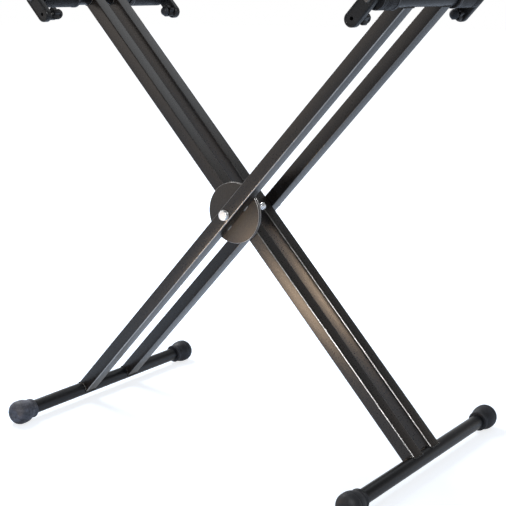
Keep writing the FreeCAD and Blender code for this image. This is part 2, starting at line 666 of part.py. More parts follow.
for frame, side, leg_ys, sleeve_gaps, wound_in in FRAMES:
    hole_r = BUSH_R if frame == "inner" else BOLT_R + BOLT_HOLE_FIT
    for place, y in zip(("front", "rear"), leg_ys):
        save(frame + "_leg_" + place, lean(leg(y, hole_r), side))
    save(frame + "_foot_tube", lean(foot_tube(), side))
    save(frame + "_arm_tube", lean(arm_tube(), side))
    save(frame + "_frame_welds", [lean(bead, side) for bead in frame_welds(leg_ys)])
    save(frame + "_stop_retainers", [lean(retainer(way), side) for _, way in ENDS])
    for (end, way), y, sleeve_gap, turned in zip(ENDS, leg_ys, sleeve_gaps, wound_in):
        start = abs(y) + HALF_DEPTH + sleeve_gap
        gap = SCREW_GAP + turned
        save(frame + "_foot_cap_" + end, stand_flat(lean(foot_cap(way), side)))
        save(frame + "_sleeve_" + end, lean(sleeve(start, way), side))
        save(frame + "_end_plug_" + end, lean(end_plug(way), side))
        save(frame + "_stop_" + end, lean(stop(way), side))
        save(frame + "_stop_knob_" + end, lean(knob(way, gap), side))
        save(frame + "_stop_screw_" + end, lean(clamp_screw(way, gap), side))
        save(frame + "_stop_pad_" + end, lean(pad(way, gap), side))

save("outer_disc", at_pivot(outer_disc()))
save("inner_disc", at_pivot(inner_disc()))
save("outer_disc_welds", [lean(bead, 1) for bead in disc_stitches()])
save("inner_disc_welds", [lean(bead, -1) for bead in rim_welds()])
save("pivot_bolt", at_pivot(pivot_bolt()))
save("pivot_nut", at_pivot(pivot_nut()))
save("pivot_washers", [at_pivot(ring) for ring in washers()])
save("pivot_bushes", [at_pivot(bush(y)) for y in INNER_LEG_YS])
save("pivot_spacer", at_pivot(spacer()))
save("lock_housing", at_pivot(lock_housing()))
save("lock_pin", at_pivot(lock_pin()))
save("lock_spring", at_pivot(lock_spring()))
save("lock_knob", at_pivot(lock_knob()))
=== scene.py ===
import json
import math

import bmesh
import bpy
from mathutils import Matrix, Vector


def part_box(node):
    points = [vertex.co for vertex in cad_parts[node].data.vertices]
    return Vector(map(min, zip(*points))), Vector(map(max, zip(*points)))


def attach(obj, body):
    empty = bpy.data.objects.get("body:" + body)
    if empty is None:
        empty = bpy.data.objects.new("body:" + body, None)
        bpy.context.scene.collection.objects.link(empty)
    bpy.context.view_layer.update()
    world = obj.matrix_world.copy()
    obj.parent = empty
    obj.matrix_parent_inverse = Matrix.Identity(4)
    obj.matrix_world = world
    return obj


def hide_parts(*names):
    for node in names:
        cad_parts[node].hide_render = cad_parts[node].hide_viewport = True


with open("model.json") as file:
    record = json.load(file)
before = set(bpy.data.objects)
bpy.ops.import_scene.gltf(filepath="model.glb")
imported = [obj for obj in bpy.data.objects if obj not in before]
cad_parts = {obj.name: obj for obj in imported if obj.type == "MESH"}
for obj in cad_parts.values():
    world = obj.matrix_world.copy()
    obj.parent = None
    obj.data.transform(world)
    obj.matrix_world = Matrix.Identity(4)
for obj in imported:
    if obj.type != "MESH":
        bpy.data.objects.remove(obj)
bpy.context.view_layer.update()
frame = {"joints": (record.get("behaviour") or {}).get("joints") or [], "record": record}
joints = {joint["name"]: joint for joint in frame["joints"]}

# ------------------------------------------------------------------ viewpoint
# The stand is seen from its front right, from about two metres away and from
# the height of its arms. The arms run off the top of the picture.
camera_data = bpy.data.cameras.new("viewpoint")
camera_data.sensor_width = 36.0
camera_data.lens = 85.08
camera = bpy.data.objects.new("viewpoint", camera_data)
camera_turn = 0.62475
camera_dip = 0.21737
camera_roll = -0.00342
camera.matrix_world = (
    Matrix.Translation((1.26183, -1.74076, 0.81023))
    @ Matrix.Rotation(camera_turn, 4, "Z")
    @ Matrix.Rotation(math.pi / 2 - camera_dip, 4, "X")
    @ Matrix.Rotation(camera_roll, 4, "Z")
)
bpy.context.scene.collection.objects.link(camera)
bpy.context.scene.camera = camera
bpy.context.scene.view_settings.view_transform = "Standard"


# --------------------------------------------------------------- white studio
# White paper floor under an even white surround, with broad soft lamps. Paper
# and surround look white to the eye, and the paper keeps the stand's shadow.
class Reading:
    """One output of a node tree. Arithmetic on readings adds Math nodes."""

    def __init__(self, tree, socket):
        self.tree = tree
        self.socket = socket

    def math(self, operation, first, second):
        settings = {"operation": operation}
        return self.tree.node("ShaderNodeMath", settings, {0: first, 1: second})

    def __add__(self, other):
        return self.math("ADD", self, other)

    def __radd__(self, other):
        return self.math("ADD", other, self)

    def __sub__(self, other):
        return self.math("SUBTRACT", self, other)

    def __rsub__(self, other):
        return self.math("SUBTRACT", other, self)

    def __mul__(self, other):
        return self.math("MULTIPLY", self, other)

    def __rmul__(self, other):
        return self.math("MULTIPLY", other, self)

    def __truediv__(self, other):
        return self.math("DIVIDE", self, other)

    def __rtruediv__(self, other):
        return self.math("DIVIDE", other, self)


class Tree:
    """A node tree in the making. Every node comes from node()."""

    def __init__(self, tree):
        self.tree = tree
        tree.nodes.clear()

    def node(self, kind, settings=None, sockets=None, out=0):
        made = self.tree.nodes.new(kind)
        for key, value in (settings or {}).items():
            setattr(made, key, value)
        for key, value in (sockets or {}).items():
            if isinstance(value, Reading):
                self.tree.links.new(value.socket, made.inputs[key])
            else:
                made.inputs[key].default_value = value
        return Reading(self, made.outputs[out]) if made.outputs else made


light_path = "ShaderNodeLightPath"
world = bpy.data.worlds.new("white_surround")
world.use_nodes = True
bpy.context.scene.world = world
surround = Tree(world.node_tree)
plain_white = (surround.node(light_path, out="Is Camera Ray")
               + surround.node(light_path, out="Is Transmission Ray"))
mirrored = surround.node(light_path, out="Is Glossy Ray")
bearing = surround.node("ShaderNodeTexCoord", out="Generated")
up = surround.node("ShaderNodeSeparateXYZ", {}, {0: bearing}, out=2)
wall = surround.node("ShaderNodeMapRange", {"interpolation_type": "SMOOTHSTEP"},
                     {"Value": up, "From Min": 0.42, "From Max": 0.0})
ceiling_level, wall_level, wall_in_gloss = 0.22, 0.80, 1.0
wall_rise = (wall_level - ceiling_level) + mirrored * (wall_in_gloss - wall_level)
level = plain_white + (1 - plain_white) * (ceiling_level + wall * wall_rise)
white = surround.node("ShaderNodeBackground", {}, {"Color": (1, 1, 1, 1), "Strength": level})
surround.node("ShaderNodeOutputWorld", {}, {"Surface": white})

half_paper = 20.0
paper = bpy.data.meshes.new("paper_floor")
paper.from_pydata([(-half_paper, -half_paper, 0), (half_paper, -half_paper, 0),
                   (half_paper, half_paper, 0), (-half_paper, half_paper, 0)], [], [(0, 1, 2, 3)])
floor = bpy.data.objects.new("paper_floor", paper)
bpy.context.scene.collection.objects.link(floor)
paper_finish = bpy.data.materials.new("white_paper")
paper_finish.use_nodes = True
sheet = Tree(paper_finish.node_tree)
matt = sheet.node("ShaderNodeBsdfDiffuse", {}, {"Color": (0.50, 0.63, 0.82, 1)})
from_middle = sheet.node("ShaderNodeVectorMath", {"operation": "LENGTH"},
                         {0: sheet.node("ShaderNodeTexCoord", out="Object")}, out="Value")
whitening = sheet.node("ShaderNodeMapRange", {"interpolation_type": "SMOOTHSTEP"},
                       {"Value": from_middle, "From Min": 0.35, "From Max": 1.3,
                        "To Min": 0.78, "To Max": 1.0})
mirror_fade = sheet.node("ShaderNodeMapRange", {"interpolation_type": "SMOOTHSTEP"},
                         {"Value": from_middle, "From Min": 0.45, "From Max": 1.15,
                          "To Min": 0.46, "To Max": 0.32})
seen = sheet.node(light_path, out="Is Camera Ray") + sheet.node(light_path, out="Is Transmission Ray")
in_gloss = sheet.node(light_path, out="Is Glossy Ray")
glow = sheet.node("ShaderNodeEmission", {}, {"Color": seen * whitening + in_gloss * mirror_fade})
both = sheet.node("ShaderNodeAddShader", {}, {0: matt, 1: glow})
sheet.node("ShaderNodeOutputMaterial", {}, {"Surface": both})
paper.materials.append(paper_finish)


def hang_lamp(name, place, aim, size, power, colour, sheen_only=False):
    """A round soft lamp. One for sheen only shows in gloss and casts no shadow."""
    lamp_data = bpy.data.lights.new(name, "AREA")
    lamp_data.shape = "DISK"
    lamp_data.size = size
    lamp_data.energy = power
    lamp_data.color = colour
    lamp = bpy.data.objects.new(name, lamp_data)
    lamp.location = place
    lamp.rotation_euler = (Vector(aim) - Vector(place)).to_track_quat("-Z", "Y").to_euler()
    lamp.visible_camera = False
    lamp.visible_diffuse = not sheen_only
    bpy.context.scene.collection.objects.link(lamp)


hang_lamp("left_lamp", (-1.9, 0.6, 2.1), (0.1, 0, 0), 1.3, 62.0, (0.97, 0.98, 1.0))
hang_lamp("back_lamp", (-0.1, 2.2, 2.7), (-0.2, 0, 0.5), 1.5, 6.0, (0.90, 0.95, 1.0))
hang_lamp("front_lamp", (1.75, -1.85, 2.25), (0, 0, 0.35), 0.9, 85.0, (0.96, 0.98, 1.0), sheen_only=True)
hang_lamp("wall_lamp", (-2.1, -2.6, 0.9), (0, 0, 0.6), 1.7, 5.8, (1.0, 0.80, 0.64), sheen_only=True)
hang_lamp("low_warm_lamp", (-0.23, -0.66, 0.09), (0.18, 0, 0.24), 0.24, 2.2, (1.0, 0.73, 0.49),
          sheen_only=True)

# ------------------------------------------------------------------- leg tubes
# Four tubes of 25 by 28 mm, the struts of the two X frames. Rolled from steel
# strip with tight corners, coped to the round tubes that they are welded to,
# and powder coated black with a satin sheen.
MM = 0.001
pivot = Vector(joints["fold"]["pos_m"])
arm_axis = Vector(joints["outer_stop_near_swing"]["pos_m"]) - pivot
lean_angle = math.atan2(arm_axis.x, arm_axis.z)
pivot_to_arm = math.hypot(arm_axis.x, arm_axis.z) / MM
foot_low, foot_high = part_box("outer_foot_tube")
pivot_to_foot = (pivot.z - (foot_low.z + foot_high.z) / 2) / math.cos(lean_angle) / MM
frames = {"outer": 1, "inner": -1}
ends = {"near": -1, "far": 1}
upright = Matrix.Translation(pivot) @ Matrix.Scale(MM, 4)
leaning = {
    side: Matrix.Translation(pivot) @ Matrix.Rotation(way * lean_angle, 4, "Y") @ Matrix.Scale(MM, 4)
    for side, way in frames.items()
}
bodies = frame["record"]["behaviour"]["bodies"]
body_of = {node: body for body, nodes in bodies.items() for node in nodes}


def middle_y(node):
    low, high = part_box(node)
    return (low.y + high.y) / 2 / MM


def skin(name, rings, closed=False):
    """Closed mesh through rings of points; a ring of one point is a pole."""
    shape = bmesh.new()
    rows = [[shape.verts.new(point) for point in ring] for ring in rings]
    for one, other in zip(rows, rows[1:] + rows[:1] if closed else rows[1:]):
        count = max(len(one), len(other))
        for i in range(count):
            j = (i + 1) % count
            corners = [one[i % len(one)], one[j % len(one)],
                       other[j % len(other)], other[i % len(other)]]
            shape.faces.new(list(dict.fromkeys(corners)))
    if not closed:
        for row in (rows[0], rows[-1]):
            if len(row) > 2:
                shape.faces.new(row)
    bmesh.ops.recalc_face_normals(shape, faces=shape.faces)
    mesh = bpy.data.meshes.new(name)
    shape.to_mesh(mesh)
    shape.free()
    return mesh


def circle(radius, y, z=0.0, x=0.0, count=72):
    return [(x + radius * math.cos(2 * math.pi * i / count), y,
             z + radius * math.sin(2 * math.pi * i / count)) for i in range(count)]


def rounded_rectangle(width, depth, corner, y, height, steps=6):
    """Ring round a tube of rectangular section; height gives z for each x."""
    ring = []
    for across, along, start in ((1, -1, -90), (1, 1, 0), (-1, 1, 90), (-1, -1, 180)):
        for i in range(steps + 1):
            turn = math.radians(start + 90.0 * i / steps)
            x = (width / 2 - corner) * across + corner * math.cos(turn)
            ring.append((x, y + (depth / 2 - corner) * along + corner * math.sin(turn), height(x)))
    return ring


def plain_object(name, mesh):
    made = bpy.data.objects.new(name, mesh)
    bpy.context.scene.collection.objects.link(made)
    return made


def applied(body, mesh_name):
    """The evaluated mesh of an object, which is then removed."""
    depsgraph = bpy.context.evaluated_depsgraph_get()
    depsgraph.update()
    mesh = bpy.data.meshes.new_from_object(body.evaluated_get(depsgraph))
    mesh.name = mesh_name
    bpy.data.objects.remove(body)
    return mesh


def drilled(mesh, *holes):
    """Drill round holes along Y: each has a radius, x, z and two ends in y."""
    body = plain_object(mesh.name, mesh)
    drills = []
    for radius, x, z, y0, y1 in holes:
        rings = [circle(radius, y0, z, x, 40), circle(radius, y1, z, x, 40)]
        drills.append(plain_object("drill", skin("drill", rings)))
        cut = body.modifiers.new("cut", "BOOLEAN")
        cut.operation = "DIFFERENCE"
        cut.solver = "EXACT"
        cut.object = drills[-1]
    result = applied(body, mesh.name)
    for drill in drills:
        bpy.data.objects.remove(drill)
    return result


def finish_piece(name, mesh, place, finish, *stands_for, crease=32.0):
    """Put a mesh that was built in millimetres in its place, and dress it."""
    mesh.transform(place)
    mesh.polygons.foreach_set("use_smooth", [True] * len(mesh.polygons))
    mesh.set_sharp_from_angle(angle=math.radians(crease))
    mesh.materials.clear()
    mesh.materials.append(finish.material)
    piece = plain_object(name, mesh)
    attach(piece, body_of[stands_for[0]])
    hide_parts(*stands_for)
    return piece


class Finish(Tree):
    """A material built round one Principled shader."""

    def __init__(self, name, colour, roughness, metallic=0.0, specular=0.5):
        self.material = bpy.data.materials.new(name)
        self.material.use_nodes = True
        super().__init__(self.material.node_tree)
        self.material.diffuse_color = (*colour, 1.0)
        self.shader = self.tree.nodes.new("ShaderNodeBsdfPrincipled")
        self.shader.inputs["Base Color"].default_value = (*colour, 1.0)
        self.shader.inputs["Roughness"].default_value = roughness
        self.shader.inputs["Metallic"].default_value = metallic
        self.shader.inputs["Specular IOR Level"].default_value = specular
        output = self.tree.nodes.new("ShaderNodeOutputMaterial")
        self.tree.links.new(self.shader.outputs[0], output.inputs["Surface"])

    def feed(self, socket, reading):
        self.tree.links.new(reading.socket, self.shader.inputs[socket])

    def noise(self, scale, detail=3.0, rough=0.5, stretch=(1, 1, 1)):
        place = self.node("ShaderNodeTexCoord", out="Object")
        place = self.node("ShaderNodeMapping", {}, {"Vector": place, "Scale": stretch})
        return self.node("ShaderNodeTexNoise", {}, {"Vector": place, "Scale": scale,
                                                    "Detail": detail, "Roughness": rough})

    def step(self, value, low, high):
        """0 below low, 1 above high, and smooth between them."""
        return self.node("ShaderNodeMapRange", {"interpolation_type": "SMOOTHSTEP"},
                         {"Value": value, "From Min": low, "From Max": high})

    def mix(self, share, first, second):
        """Blend of two colours, each a colour or another mix."""
        colours = [c if isinstance(c, Reading) else (*c, 1.0) for c in (first, second)]
        return self.node("ShaderNodeMix", {"data_type": "RGBA"},
                         {0: share, 6: colours[0], 7: colours[1]}, out=2)

    def bump(self, height, strength, distance):
        sockets = {"Strength": strength, "Distance": distance, "Height": height}
        self.feed("Normal", self.node("ShaderNodeBump", {}, sockets))


def powder_coat(name, colour, warm, roughness):
    """Satin coat: orange peel, warmer clouds, pale rubs, and corners worn to the steel or painted pale as a
    highlight.
    """
    coat = Finish(name, colour, roughness)
    # The mark holds coat worn to the steel and painted highlights on corners and rims alike.
    worn = coat.node("ShaderNodeAttribute", {"attribute_name": "wear_and_highlight"}, out="Fac")
    worn = worn * (0.80 + coat.step(coat.noise(42.0, 4.0, 0.6), 0.35, 0.65) * 0.20)
    rub = coat.step(coat.noise(240.0, 5.0, 0.7), 0.69, 0.78) * coat.step(coat.noise(13.0), 0.52, 0.66)
    cloud = coat.step(coat.noise(4.5, 4.0), 0.36, 0.64)
    mottle = coat.step(coat.noise(340.0, 3.0, 0.6), 0.32, 0.70)
    body = coat.mix(cloud * 0.6 + mottle * 0.4, colour, warm)
    body = coat.mix(rub * 0.35, body, (0.10, 0.095, 0.09))
    coat.feed("Base Color", coat.mix(worn, body, (0.62, 0.60, 0.58)))
    coat.feed("Metallic", worn * 0.65)
    coat.feed("Roughness", roughness - 0.03 + mottle * 0.05 + rub * 0.15)
    coat.bump(coat.noise(520.0, 2.0) + coat.noise(150.0, 2.0) * 0.6, 0.07, 0.0004)
    return coat


def mark_wear_and_highlight(mesh, wear_at):
    """Store on each point how far the coat there is worn off or painted pale as a highlight, from 0 to 1.
    """
    marks = mesh.attributes.new("wear_and_highlight", "FLOAT", "POINT")
    marks.data.foreach_set("value", [wear_at(vertex.co) for vertex in mesh.vertices])


frame_coat = powder_coat("frame_powder_coat", (0.0095, 0.0090, 0.0100), (0.0300, 0.0195, 0.0130), 0.30)
leg_width, leg_depth, leg_corner, leg_wall = 25.0, 28.0, 1.7, 1.4
foot_r, arm_r = 13.0, 15.0
bolt_hole_r, bush_hole_r = 6.25, 8.0
above_bolt, pale_from = 60.0, 260.0


def above_foot(x):
    return -pivot_to_foot + math.sqrt(foot_r ** 2 - x ** 2)


def below_arm(x):
    return pivot_to_arm - math.sqrt(arm_r ** 2 - x ** 2)


def corner_wear_and_highlight(point, side, place, y):
    """Pale corners, partly edge wear and partly painted highlight. The right-hand front corners get the
    most, on the inner legs only low down; the outer legs' left corners get a faint painted highlight just
    above the bolt.
    """
    in_x = leg_width / 2 - abs(point.x)
    in_y = leg_depth / 2 - abs(point.y - y)
    if not (0.05 < in_x < leg_corner * 0.9 and 0.05 < in_y < leg_corner * 0.9):
        return 0.0
    if point.y > y:
        return 0.10
    if point.x < 0:
        return 0.35 if side == "outer" and 0 < point.z < above_bolt else 0.05
    if side == "inner":
        return min(0.85, max(0.0, -point.z / pale_from))
    return 0.85 if place == "front" else 0.40


for side in frames:
    for place in ("front", "rear"):
        node = f"{side}_leg_{place}"
        y = middle_y(node)
        heights = (-pivot_to_foot + 40, -pale_from, -40.0, 40.0, above_bolt + 30, pivot_to_arm - 40)
        levels = [lambda x, z=z: z for z in heights]
        rings = [rounded_rectangle(leg_width, leg_depth, leg_corner, y, level_at)
                 for level_at in (above_foot, *levels, below_arm)]
        rings += [rounded_rectangle(leg_width - 2 * leg_wall, leg_depth - 2 * leg_wall, 0.3, y, level_at)
                  for level_at in (below_arm, above_foot)]
        hole = (bush_hole_r if side == "inner" else bolt_hole_r, 0, 0, y - leg_depth, y + leg_depth)
        mesh = drilled(skin(node, rings, closed=True), hole)
        # Pale corners: edge wear and painted highlight together.
        mark_wear_and_highlight(mesh, lambda point: corner_wear_and_highlight(point, side, place, y))
        finish_piece(node + "_tube", mesh, leaning[side], frame_coat, node)


# ---------------------------------------------------- foot tubes and arm tubes
# Round steel tubes across the bottom and the top of each frame, open at their
# ends until the caps and plugs go on. Their coat is less glossy, and darker
# and bluer than the frame's as painted shade.
def soften(profile, steps=5):
    """Radius and y of a lathe's outline; a third number rounds that corner."""
    outline = []
    for i, (r, y, *fillet) in enumerate(profile):
        here = Vector((r, y))
        if not fillet or i in (0, len(profile) - 1):
            outline.append((r, y))
            continue
        before = (Vector(profile[i - 1][:2]) - here).normalized()
        after = (Vector(profile[i + 1][:2]) - here).normalized()
        half = before.angle(after) / 2
        back = fillet[0] / math.tan(half)
        centre = here + (before + after).normalized() * fillet[0] / math.sin(half)
        first = here + before * back - centre
        turn = (here + after * back - centre).angle_signed(first)
        for k in range(steps + 1):
            spoke = first.copy()
            spoke.rotate(Matrix.Rotation(turn * k / steps, 2))
            outline.append(tuple(centre + spoke))
    return outline


def lathe(name, profile, z=0.0, x=0.0, way=1, closed=False, count=72):
    """Turn a profile about Y. A radius of 0 closes it at a pole."""
    rings = [circle(r, way * y, z, x, count) if r > 0 else [(x, way * y, z)] for r, y in soften(profile)]
    return skin(name, rings, closed)


tube_wall, tube_edge = 1.5, 0.4
# Darker and bluer than the frame coat: painted shade.
tube_coat_with_painted_shade = powder_coat("tube_powder_coat", (0.0045, 0.0055, 0.0080), (0.0080, 0.0085, 0.0110), 0.36)
tube_coat_with_painted_shade.shader.inputs["Specular IOR Level"].default_value = 0.34
for side in frames:
    for node, radius, z in ((side + "_foot_tube", foot_r, -pivot_to_foot),
                            (side + "_arm_tube", arm_r, pivot_to_arm)):
        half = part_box(node)[1].y / MM
        bore = radius - tube_wall
        profile = [(bore, -half), (radius, -half, tube_edge), (radius, half, tube_edge), (bore, half)]
        finish_piece(node + "_round", lathe(node, profile, z, closed=True, count=96), leaning[side],
                     tube_coat_with_painted_shade, node)


# ------------------------------------------------------------------ weld beads
# Rippled beads of weld metal: round each leg where it meets a round tube, in
# short stitches beside the front outer leg on its disc, and along the inner
# disc's rim. All are coated over with the frame. The stitches are paler, their
# crests most: partly rubbed weld, partly painted glints.
class Recipe(Tree):
    """A Geometry Nodes tree that turns a path into a piece."""

    def __init__(self, name, sizes):
        group = bpy.data.node_groups.new(name, "GeometryNodeTree")
        super().__init__(group)
        group.interface.new_socket("Path", in_out="INPUT", socket_type="NodeSocketGeometry")
        for size in sizes:
            group.interface.new_socket(size, in_out="INPUT", socket_type="NodeSocketFloat")
        group.interface.new_socket("Finish", in_out="INPUT", socket_type="NodeSocketMaterial")
        group.interface.new_socket("Piece", in_out="OUTPUT", socket_type="NodeSocketGeometry")
        self.start = group.nodes.new("NodeGroupInput")

    def given(self, name):
        return Reading(self, self.start.outputs[name])

    def serve(self, geometry):
        whole = self.node("GeometryNodeRealizeInstances", {}, {0: geometry})
        dressed = self.node("GeometryNodeSetMaterial", {},
                            {"Geometry": whole, "Material": self.given("Finish")})
        self.node("NodeGroupOutput", {}, {"Piece": dressed})

    def make(self, name, path, finish, **sizes):
        """Run the tree on a path mesh and return a plain mesh."""
        body = plain_object(name, path)
        maker = body.modifiers.new("recipe", "NODES")
        maker.node_group = self.tree
        wanted = {key.replace("_", " ").capitalize(): value for key, value in sizes.items()}
        for socket in self.tree.interface.items_tree:
            if socket.in_out == "INPUT" and socket.name in wanted:
                maker[socket.identifier] = wanted[socket.name]
            if socket.in_out == "INPUT" and socket.name == "Finish":
                maker[socket.identifier] = finish.material
        return applied(body, name)


def path_mesh(points, closed=False):
    path = bpy.data.meshes.new("path")
    pairs = [(i, i + 1) for i in range(len(points) - 1)] + ([(len(points) - 1, 0)] if closed else [])
    path.from_pydata(points, pairs, [])
    return path


weld = Recipe("weld_bead", ["Bead radius", "Ripple", "Ripple depth", "End taper"])
line = weld.node("GeometryNodeMeshToCurve", {}, {"Mesh": weld.given("Path")})
line = weld.node("GeometryNodeResampleCurve", {"mode": "LENGTH"},
                 {"Curve": line, "Length": weld.given("Ripple") * 0.2})
along = weld.node("GeometryNodeSplineParameter", out="Length")
whole_length = weld.node("GeometryNodeSplineLength", out="Length")
wave = weld.node("ShaderNodeMath", {"operation": "SINE"},
                 {0: along * 2 * math.pi / weld.given("Ripple")})
wobble = weld.node("ShaderNodeTexNoise", {}, {"Scale": 0.35, "Detail": 2.0})
to_end = weld.node("ShaderNodeMath", {"operation": "MINIMUM"}, {0: along, 1: whole_length - along})
taper = weld.node("ShaderNodeMapRange", {"interpolation_type": "SMOOTHSTEP"},
                  {"Value": to_end + 0.001, "From Min": 0.0, "From Max": weld.given("End taper") + 0.001,
                   "To Min": 0.25, "To Max": 1.0})
thick = (weld.given("Bead radius") * taper * (0.78 + wobble * 0.34)
         * (1 + wave * weld.given("Ripple depth")))
line = weld.node("GeometryNodeSetCurveRadius", {}, {"Curve": line, "Radius": thick})
section = weld.node("GeometryNodeCurvePrimitiveCircle", {}, {"Resolution": 12, "Radius": 1.0})
bead = weld.node("GeometryNodeCurveToMesh", {}, {"Curve": line, "Profile Curve": section,
                                                 "Scale": thick, "Fill Caps": True})
weld.serve(bead)

weld_coat = powder_coat("coated_weld", (0.0120, 0.0115, 0.0115), (0.0180, 0.0150, 0.0130), 0.26)
# A paler coat for the stitches: partly rubbed weld, partly painted glints.
stitch_coat_with_glints = powder_coat("rubbed_stitch", (0.045, 0.040, 0.037), (0.080, 0.074, 0.068), 0.24)
bead_r, ripple, ripple_depth = 1.5, 1.5, 0.13


def joined(name, meshes):
    shape = bmesh.new()
    for mesh in meshes:
        shape.from_mesh(mesh)
    bmesh.ops.recalc_face_normals(shape, faces=shape.faces)
    whole = bpy.data.meshes.new(name)
    shape.to_mesh(whole)
    shape.free()
    return whole


def bead_on(path, closed=False, end_taper=0.0):
    return weld.make("bead", path_mesh(path, closed), weld_coat, bead_radius=bead_r,
                     ripple=ripple, ripple_depth=ripple_depth, end_taper=end_taper)


def saddle_path(y, tube_r, base, up):
    """Path round a leg at the root of its joint with a round tube."""
    proud = 0.4
    flat = rounded_rectangle(leg_width + proud, leg_depth + proud, leg_corner, y, lambda x: 0.0)
    path = []
    for one, other in zip(flat, flat[1:] + flat[:1]):
        parts = max(1, round(math.dist(one, other) / 1.2))
        for k in range(parts):
            x = one[0] + (other[0] - one[0]) * k / parts
            y_here = one[1] + (other[1] - one[1]) * k / parts
            path.append((x, y_here, base + up * math.sqrt((tube_r + proud) ** 2 - x ** 2)))
    return path


for side in frames:
    node = side + "_frame_welds"
    beads = []
    for place in ("front", "rear"):
        y = middle_y(f"{side}_leg_{place}")
        beads.append(bead_on(saddle_path(y, foot_r, -pivot_to_foot, 1), closed=True))
        beads.append(bead_on(saddle_path(y, arm_r, pivot_to_arm, -1), closed=True))
    finish_piece(node + "_beads", joined(node, beads), leaning[side], weld_coat, node, crease=60.0)

disc_r, disc_thick = 55.5, 3.2
stitch, stitch_inset = 14.0, 28.5    # mm long, and its middle in from the rim
disc_face_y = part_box("outer_disc")[0].y / MM
rim_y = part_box("inner_disc")[1].y / MM
stitches = []
for across in (-1, 1):
    for along_leg in (-1, 1):
        x = across * (leg_width / 2 + 0.3)
        middle = along_leg * (disc_r - stitch_inset)
        stitches.append(bead_on([(x, disc_face_y - 0.3, middle - stitch / 2),
                                 (x, disc_face_y - 0.3, middle + stitch / 2)], end_taper=2.5))
stitch_mesh = joined("outer_disc_welds", stitches)
# Crests facing out from the disc are palest: partly rubbed, partly painted glints.
mark_wear_and_highlight(stitch_mesh, lambda point: 0.8 if point.y < disc_face_y - bead_r * 0.9 else 0.25)
finish_piece("outer_disc_stitches", stitch_mesh, leaning["outer"], stitch_coat_with_glints, "outer_disc_welds",
             crease=60.0)
rim_beads = []
half_rim = math.asin((leg_width / 2 - leg_corner) / disc_r)
for start in (math.pi / 2, -math.pi / 2):
    turns = [start + half_rim * (k / 12 - 1) for k in range(25)]
    rim_beads.append(bead_on([(disc_r * math.cos(t), rim_y - 0.2, disc_r * math.sin(t)) for t in turns],
                             end_taper=2.0))
finish_piece("inner_disc_rim_beads", joined("inner_disc_welds", rim_beads), leaning["inner"], weld_coat,
             "inner_disc_welds", crease=60.0)

# ---------------------------------------------------------------- pivot discs
# Round plates of 3.2 mm steel, one welded to each frame at the crossing.
# The outer one has the blind lock holes in its back. Coated like the frame,
# with a browner tone where the coat is thin on the plate.
disc_coat = powder_coat("disc_powder_coat", (0.0170, 0.0140, 0.0125), (0.0600, 0.0460, 0.0350), 0.36)
disc_edge, rim_wear_and_highlight = 0.7, 0.92
lock_radius = disc_r - 14.5
lock_angle, lock_step, holes_down, holes_up = 16.5, 13.0, 2, 6
lock_hole_r, lock_hole_depth, lock_pin_r = 3.6, 2.4, 3.2
hidden_disc_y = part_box("inner_disc")[0].y / MM


def on_lock_ring(steps):
    turn = math.radians(lock_angle - steps * lock_step)
    return lock_radius * math.cos(turn), lock_radius * math.sin(turn)


def plate(name, y, *holes):
    profile = [(0, y), (disc_r, y, disc_edge), (disc_r, y + disc_thick, disc_edge), (0, y + disc_thick)]
    bolt_hole = (bolt_hole_r, 0, 0, y - 1, y + disc_thick + 1)
    mesh = drilled(lathe(name, profile, count=144), bolt_hole, *holes)
    # The rim's bevel is marked pale: partly edge wear, partly painted highlight.
    rim_from, rim_to = disc_r - disc_edge * 0.95, disc_r - 0.02
    mark_wear_and_highlight(mesh, lambda point: rim_wear_and_highlight if rim_from < math.hypot(point.x, point.z) < rim_to else 0)
    return mesh


blind_floor = disc_face_y + disc_thick - lock_hole_depth
blind_holes = [(lock_hole_r, *on_lock_ring(k), blind_floor, disc_face_y + disc_thick + 1)
               for k in range(-holes_down, holes_up + 1)]
pin_hole = (lock_pin_r + 0.06, *on_lock_ring(0), hidden_disc_y - 1, hidden_disc_y + disc_thick + 1)
finish_piece("outer_disc_plate", plate("outer_disc", disc_face_y, *blind_holes), upright, disc_coat,
             "outer_disc")
finish_piece("inner_disc_plate", plate("inner_disc", hidden_disc_y, pin_hole), upright, disc_coat,
             "inner_disc")


# ----------------------------------------------------------- pivot bolt and nut
# Zinc plated bolt with a low domed head and a threaded tail, locked by a nut
# with a collar. Washers sit under head and nut, between the discs and between
# the rear legs. A spacer tube and nylon bushes sit on it at the inner legs.
def plated(name, colour, roughness, metallic=1.0):
    """Bright plating with faint clouds and fine turning marks."""
    metal = Finish(name, colour, roughness, metallic)
    cloud = metal.step(metal.noise(90.0, 4.0, 0.6), 0.30, 0.72)
    dull = tuple(0.72 * c for c in colour)
    metal.feed("Base Color", metal.mix(cloud * 0.45, colour, dull))
    metal.feed("Roughness", roughness + cloud * 0.08)
    metal.bump(metal.noise(900.0, 2.0, 0.5, (1.0, 0.2, 1.0)), 0.05, 0.0001)
    return metal


zinc = plated("bright_zinc", (0.98, 0.99, 0.98), 0.30, 0.80)
thread = Recipe("screw_thread", ["Radius", "Length", "Pitch"])
winding = thread.node("GeometryNodeCurveSpiral", {},
                      {"Resolution": 28, "Rotations": thread.given("Length") / thread.given("Pitch"),
                       "Start Radius": thread.given("Radius"), "End Radius": thread.given("Radius"),
                       "Height": thread.given("Length")})
ridge = thread.node("GeometryNodeCurvePrimitiveCircle", {},
                    {"Resolution": 6, "Radius": thread.given("Pitch") * 0.36})
winding = thread.node("GeometryNodeCurveToMesh", {}, {"Curve": winding, "Profile Curve": ridge,
                                                      "Fill Caps": True})
thread.serve(winding)
along_y = Matrix.Rotation(-math.pi / 2, 4, "X")


